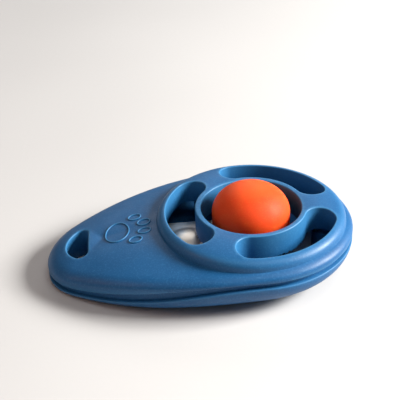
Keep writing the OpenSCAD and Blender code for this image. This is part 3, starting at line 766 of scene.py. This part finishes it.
def build_paw():
    """A generic paw mark: raised outlines of a pad and four toes on the deck."""
    toes = [(reach, side * across, *PAW_TOE_RADII) for reach, across in PAW_TOE_PLACES for side in SIDES]
    section = [(PAW_LINE_HALF * math.cos(a), PAW_RISE * math.sin(a))
               for a in np.radians(np.linspace(0, 180, 9))]
    section += [(-PAW_LINE_HALF, -PAW_SUNK), (PAW_LINE_HALF, -PAW_SUNK)]
    shell = Shell()
    for reach, across, rx, ry in [PAW_PAD] + toes:
        n = int(TURN * max(rx, ry) / PAW_STEP)
        a = TURN * np.arange(n) / n
        loops = []
        for off, up in section:
            x, y = PAW_X + reach + (rx + off) * np.cos(a), across + (ry + off) * np.sin(a)
            loops.append(shell.add_points(np.c_[x, y, top_z(x, y) + up]))
        for p, q in zip(loops, loops[1:] + loops[:1]):
            shell.strip(p, q)
    return finish_mesh(shell, "paw_mark", sharp=SOFT_CREASE)


# ---------------------------------------------------------------- wear, and painted highlights on edges


WEAR_AND_HIGHLIGHT = "wear_and_highlight"           # the attribute that tells a material how much lighter a vertex is, by wear and by painted highlight
LIP_MIDDLE = 0.12       # distance from an opening at which its lip is lightest, by wear and painted highlight, mm
LIGHTENED_WIDTH = 0.45     # distance over which a lightened lip fades out, mm
EDGE_BAND = 0.6         # how far below the skin or inside the outline an edge still counts, mm
RIM_MIDDLE = 0.1        # depth below the rim at which it is lightest, by wear and painted highlight, mm
SHOULDER_MIDDLE = 0.9   # distance inside the ring's foot at which its shoulder is lightest, by wear and painted highlight, mm
CROWN_START = 0.8       # part of the dome's rise from which it is polished


def falloff(distance, width, amount=1.0):
    """The amount where a distance is zero, fading to 0 at a width."""
    return amount * np.clip(1 - np.abs(distance) / width, 0, 1)


def upper_wear_and_highlight(x, y, z):
    """Lighter edges, partly rubbed wear and partly painted highlight: the lips of the openings, the
    shoulder of the ring, and the edge at the seam.
    """
    r, _ = polar(x, y)
    inset, edge_x, _, _ = foot(x, y)
    on_top = z > upper_outer_z(x, y) - EDGE_BAND
    edges = (past_slots(x, y), r - WELL_R, past_hole(x, y))
    lips = np.minimum.reduce([np.abs(edge - LIP_MIDDLE) for edge in edges])
    shoulder = falloff(r - RING_FOOT_R + SHOULDER_MIDDLE, width=1.4, amount=0.35)
    seam = falloff(z - seam_z(edge_x), LIGHTENED_WIDTH) * (inset < EDGE_BAND)
    return np.where(on_top, np.maximum(falloff(lips, LIGHTENED_WIDTH), shoulder), seam)


def lower_wear_and_highlight(x, y, z):
    """Lighter edges: the rim, partly rubbed wear and partly painted highlight, and the flat that the case
    rests on, rubbed.
    """
    inset, edge_x, _, _ = foot(x, y)
    rim = falloff(z - rim_z(edge_x) + RIM_MIDDLE, width=0.5, amount=0.5) * (inset < EDGE_BAND)
    return np.maximum(rim, falloff(z, width=0.12, amount=0.4))


def button_wear(x, y, z):
    """The crown of the dome, polished by the thumb."""
    up = (z - DOME_BASE) / DOME_RISE
    return 0.5 * np.clip((up - CROWN_START) / (1 - CROWN_START), 0, 1)


def paw_wear(x, y, z):
    """The crests of the raised lines."""
    return falloff(z - top_z(x, y) - PAW_RISE, width=0.25)


def mark_wear_and_highlight(obj, rule):
    """Stores how much lighter each vertex is, from 0 to 1, for the material to read: wear, and on the
    case's edges painted highlight too.
    """
    co = np.zeros(len(obj.data.vertices) * 3)
    obj.data.vertices.foreach_get("co", co)
    x, y, z = co.reshape(-1, 3).T / MM
    attribute = obj.data.attributes.new(WEAR_AND_HIGHLIGHT, "FLOAT", "POINT")
    attribute.data.foreach_set("value", rule(x, y, z).astype(np.float32))


# ---------------------------------------------------------------- materials


class Nodes:
    """A new material with a Principled shader, and short ways to add nodes to it."""

    def __init__(self, name):
        self.material = bpy.data.materials.new(name)
        self.material.use_nodes = True
        self.tree = self.material.node_tree
        self.shader = next(n for n in self.tree.nodes if n.type == "BSDF_PRINCIPLED")
        self.place = self.add("ShaderNodeTexCoord").outputs["Object"]

    def add(self, kind, **settings):
        """A new node of a kind, with its settings."""
        node = self.tree.nodes.new(kind)
        for name, value in settings.items():
            setattr(node, name, value)
        return node

    def link(self, source, target):
        self.tree.links.new(source, target)

    def noise(self, scale, detail, roughness=0.6, stretch=None):
        """Noise over the object, with a scale per metre; stretch is a factor for each axis."""
        node = self.add("ShaderNodeTexNoise")
        node.inputs["Scale"].default_value = scale
        node.inputs["Detail"].default_value = detail
        node.inputs["Roughness"].default_value = roughness
        place = self.place
        if stretch:
            mapping = self.add("ShaderNodeMapping")
            mapping.inputs["Scale"].default_value = stretch
            self.link(place, mapping.inputs["Vector"])
            place = mapping.outputs["Vector"]
        self.link(place, node.inputs["Vector"])
        return node.outputs["Fac"]

    def ramp(self, source, low=0.0, high=1.0, start=0.35, end=0.65):
        """A value that goes from low to high as the source goes from start to end."""
        node = self.add("ShaderNodeMapRange")
        for name, value in (("From Min", start), ("From Max", end), ("To Min", low), ("To Max", high)):
            node.inputs[name].default_value = value
        self.link(source, node.inputs["Value"])
        return node.outputs["Result"]

    def mix(self, factor, first, second):
        """A mix of two colours; each is an RGB triple or the output of another node."""
        node = self.add("ShaderNodeMix", data_type="RGBA")
        self.link(factor, node.inputs["Factor"])
        colours = [socket for socket in node.inputs if socket.type == "RGBA"]
        for socket, value in zip(colours, (first, second)):
            if isinstance(value, tuple):
                socket.default_value = (*value, 1.0)
            else:
                self.link(value, socket)
        return next(socket for socket in node.outputs if socket.type == "RGBA")

    def edges(self, start, end):
        """0 on flat surfaces, 1 on convex edges."""
        pointiness = self.add("ShaderNodeNewGeometry").outputs["Pointiness"]
        return self.ramp(pointiness, start=start, end=end)

    def bumps(self, layers):
        """Layers of (height source, strength, depth in metres), one on top of another."""
        normal = None
        for source, strength, depth in layers:
            node = self.add("ShaderNodeBump")
            node.inputs["Strength"].default_value = strength
            node.inputs["Distance"].default_value = depth
            self.link(source, node.inputs["Height"])
            if normal:
                self.link(normal, node.inputs["Normal"])
            normal = node.outputs["Normal"]
        self.link(normal, self.shader.inputs["Normal"])

    def set(self, **values):
        """Sets plain inputs of the shader, by short names."""
        names = {"metal": "Metallic", "specular": "Specular IOR Level",
                 "subsurface": "Subsurface Weight", "subsurface_scale": "Subsurface Scale"}
        for key, value in values.items():
            self.shader.inputs[names[key]].default_value = value

    def colour(self, source):
        self.link(source, self.shader.inputs["Base Color"])

    def roughness(self, source):
        self.link(source, self.shader.inputs["Roughness"])


SOAK_DEPTH = 7 * MM  # how far light spreads under the surface of a plastic


def moulded_plastic(name, base, deep, worn_and_lit, rough, grain, shine=0.32, soak=0.0):
    """Matte moulded plastic: spark-eroded grain, cloudy tone, and lighter edges, partly rubbed wear and
    partly painted highlight.

    Shine is the specular level, soak how much of the light spreads under the surface."""
    m = Nodes(name)
    cloud = m.noise(scale=70, detail=4)
    speckle = m.noise(scale=2600, detail=2, roughness=0.5)
    waves = m.noise(scale=120, detail=3, roughness=0.5)
    wear_and_highlight = m.add("ShaderNodeAttribute", attribute_name=WEAR_AND_HIGHLIGHT).outputs["Fac"]
    tone = m.mix(m.ramp(cloud, start=0.3, end=0.7), deep, base)
    tone = m.mix(m.ramp(speckle, high=0.22, start=0.5, end=0.75), tone, worn_and_lit)
    # painted highlight with wear: the lighter colour goes where the attribute marks edges
    tone = m.mix(m.ramp(wear_and_highlight, high=0.5, start=0.0, end=1.0), tone, worn_and_lit)
    m.colour(tone)
    m.roughness(m.ramp(m.noise(scale=220, detail=3), low=rough - 0.05, high=rough + 0.06))
    m.bumps([(waves, 0.25, 0.12 * MM), (speckle, grain, 0.04 * MM)])
    m.set(specular=shine, subsurface=soak, subsurface_scale=SOAK_DEPTH)
    return m.material


def rolled_steel():
    """Bright spring strip: rolling lines along its length, and a faint warm tarnish."""
    m = Nodes("rolled_spring_steel")
    bright, tarnished = (0.90, 0.84, 0.76), (0.78, 0.68, 0.58)
    lines = m.noise(scale=900, detail=3, stretch=(0.05, 1.0, 1.0))
    stain = m.noise(scale=160, detail=4)
    dust = m.noise(scale=2500, detail=1, roughness=0.5)
    m.colour(m.mix(m.ramp(stain, end=0.7), bright, tarnished))
    m.roughness(m.ramp(lines, low=0.34, high=0.50))
    m.bumps([(lines, 0.3, 0.03 * MM), (dust, 0.1, 0.01 * MM)])
    m.set(metal=1.0)
    return m.material


def zinc_plate():
    """Zinc-plated steel: a cool grey with small spangles, and brighter edges, partly wear and partly
    painted highlight.
    """
    m = Nodes("zinc_plated_steel")
    dark, light, worn_and_lit = (0.50, 0.52, 0.55), (0.64, 0.65, 0.67), (0.78, 0.79, 0.80)
    spangle = m.noise(scale=1500, detail=2)
    # painted highlight with wear: convex edges get the lighter colour
    m.colour(m.mix(m.edges(start=0.52, end=0.62), m.mix(m.ramp(spangle), dark, light), worn_and_lit))
    m.roughness(m.ramp(m.noise(scale=700, detail=3), low=0.28, high=0.46))
    m.bumps([(spangle, 0.2, 0.02 * MM)])
    m.set(metal=1.0)
    return m.material


def pale_floor():
    """Matte paper: a faint cloudiness and a fine grain."""
    m = Nodes("pale_paper")
    dark, light = (0.50, 0.50, 0.50), (0.54, 0.54, 0.54)
    cloud = m.noise(scale=6, detail=2, roughness=0.5)
    grain = m.noise(scale=900, detail=3)
    m.colour(m.mix(m.ramp(cloud), dark, light))
    m.roughness(m.ramp(grain, low=0.75, high=0.9))
    m.bumps([(grain, 0.1, 0.02 * MM)])
    return m.material


def dress(obj, material):
    """Gives an object its one material."""
    obj.data.materials.clear()
    obj.data.materials.append(material)


# ---------------------------------------------------------------- the object

# the blue's lighter colour is used for speckles, wear and painted edge highlights
BLUE = moulded_plastic(
    "moulded_blue", base=(0.008, 0.090, 0.240), deep=(0.006, 0.072, 0.200), worn_and_lit=(0.06, 0.25, 0.47),
    rough=0.46, grain=0.35)
ORANGE = moulded_plastic(
    "moulded_orange", base=(0.80, 0.070, 0.011), deep=(0.72, 0.057, 0.009), worn_and_lit=(0.86, 0.16, 0.03),
    rough=0.55, grain=0.25, shine=0.15, soak=0.8)
STEEL = rolled_steel()
ZINC = zinc_plate()

upper = build_upper_shell()
dress(upper, BLUE)
# the upper shell's lips, ring shoulder and seam edge are lightened: partly wear, partly painted highlight
mark_wear_and_highlight(upper, upper_wear_and_highlight)
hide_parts("upper_shell")
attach(upper, "case")

lower = build_lower_shell()
dress(lower, BLUE)
# the lower shell's rim is lightened: partly wear, partly painted highlight
mark_wear_and_highlight(lower, lower_wear_and_highlight)
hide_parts("lower_shell")
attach(lower, "case")

paw = build_paw()
dress(paw, BLUE)
mark_wear_and_highlight(paw, paw_wear)
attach(paw, "case")

button = build_button()
dress(button, ORANGE)
mark_wear_and_highlight(button, button_wear)
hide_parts("button")
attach(button, "button")

leaf = build_leaf()
dress(leaf, STEEL)
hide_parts("click_leaf_root", "click_leaf_blade")
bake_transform(leaf)

for node_name in ("leaf_clamp", "clamp_screws", "case_screws", "tail_screw"):
    dress(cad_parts[node_name], ZINC)

# ---------------------------------------------------------------- floor, light and camera

FLOOR_SIZE, FLOOR_SQUARES, FLOOR_GAP = 6, 40, 0.02 * MM

bpy.ops.mesh.primitive_grid_add(x_subdivisions=FLOOR_SQUARES, y_subdivisions=FLOOR_SQUARES, size=FLOOR_SIZE)
floor = bpy.context.object
floor.name = "floor"
floor.location.z = -FLOOR_GAP
floor.data.materials.append(pale_floor())


def look_from(target, azimuth, elevation, distance, roll=0.0, slide=(0.0, 0.0)):
    """A matrix for a camera or lamp that looks at the target, in mm and degrees.

    Azimuth 0 is the front (-Y) and grows towards +X. Slide moves the view across the picture."""
    az, el, roll = (math.radians(a) for a in (azimuth, elevation, roll))
    back = Vector((math.sin(az) * math.cos(el), -math.cos(az) * math.cos(el), math.sin(el)))
    level = Vector((math.cos(az), math.sin(az), 0))
    upright = back.cross(level)
    right = level * math.cos(roll) + upright * math.sin(roll)
    up = upright * math.cos(roll) - level * math.sin(roll)
    at = (Vector(target) + back * distance - right * slide[0] - up * slide[1]) * MM
    return Matrix.Translation(at) @ Matrix((right, up, back)).transposed().to_4x4()


def softbox(name, azimuth, elevation, distance, size, power, colour):
    """A rectangular lamp that points at the button; angles in degrees, lengths in mm, power in watts."""
    lamp = bpy.data.lights.new(name, "AREA")
    lamp.shape = "RECTANGLE"
    lamp.size, lamp.size_y = size[0] * MM, size[1] * MM
    lamp.energy = power
    lamp.color = colour
    obj = bpy.data.objects.new(name, lamp)
    obj.matrix_world = look_from(LAMP_TARGET, azimuth, elevation, distance)
    bpy.context.scene.collection.objects.link(obj)


LAMP_TARGET = (BUTTON_X, 0, 10)
softbox("key_light", azimuth=84, elevation=30, distance=520, size=(200, 170),
        power=8.4, colour=(1.0, 0.97, 0.93))
softbox("top_light", azimuth=30, elevation=68, distance=600, size=(300, 300),
        power=0.75, colour=(1.0, 0.99, 0.97))
softbox("back_light", azimuth=178, elevation=32, distance=600, size=(520, 240),
        power=0.8, colour=(1.0, 0.97, 0.95))
softbox("warm_fill", azimuth=-75, elevation=35, distance=600, size=(300, 300),
        power=0.60, colour=(1.0, 0.62, 0.48))

SKY_COLOUR, SKY_STRENGTH = (0.95, 0.97, 1.0, 1), 0.13
world = bpy.data.worlds.new("studio")
bpy.context.scene.world = world
world.use_nodes = True
background = next(n for n in world.node_tree.nodes if n.type == "BACKGROUND")
background.inputs["Color"].default_value = SKY_COLOUR
background.inputs["Strength"].default_value = SKY_STRENGTH
bpy.context.scene.view_settings.view_transform = "Standard"

CAMERA_TARGET = (BUTTON_X, 0, RING_TOP - 0.1)
camera_data = bpy.data.cameras.new("camera")
camera_data.lens = 81
camera_data.sensor_width = 36
camera_data.clip_start = 5 * MM
camera = bpy.data.objects.new("camera", camera_data)
camera.matrix_world = look_from(CAMERA_TARGET, azimuth=-4.081, elevation=31.843, distance=218.092,
                                roll=-2.074, slide=(12.324, -1.307))
bpy.context.scene.collection.objects.link(camera)
bpy.context.scene.camera = camera

bpy.context.view_layer.update()
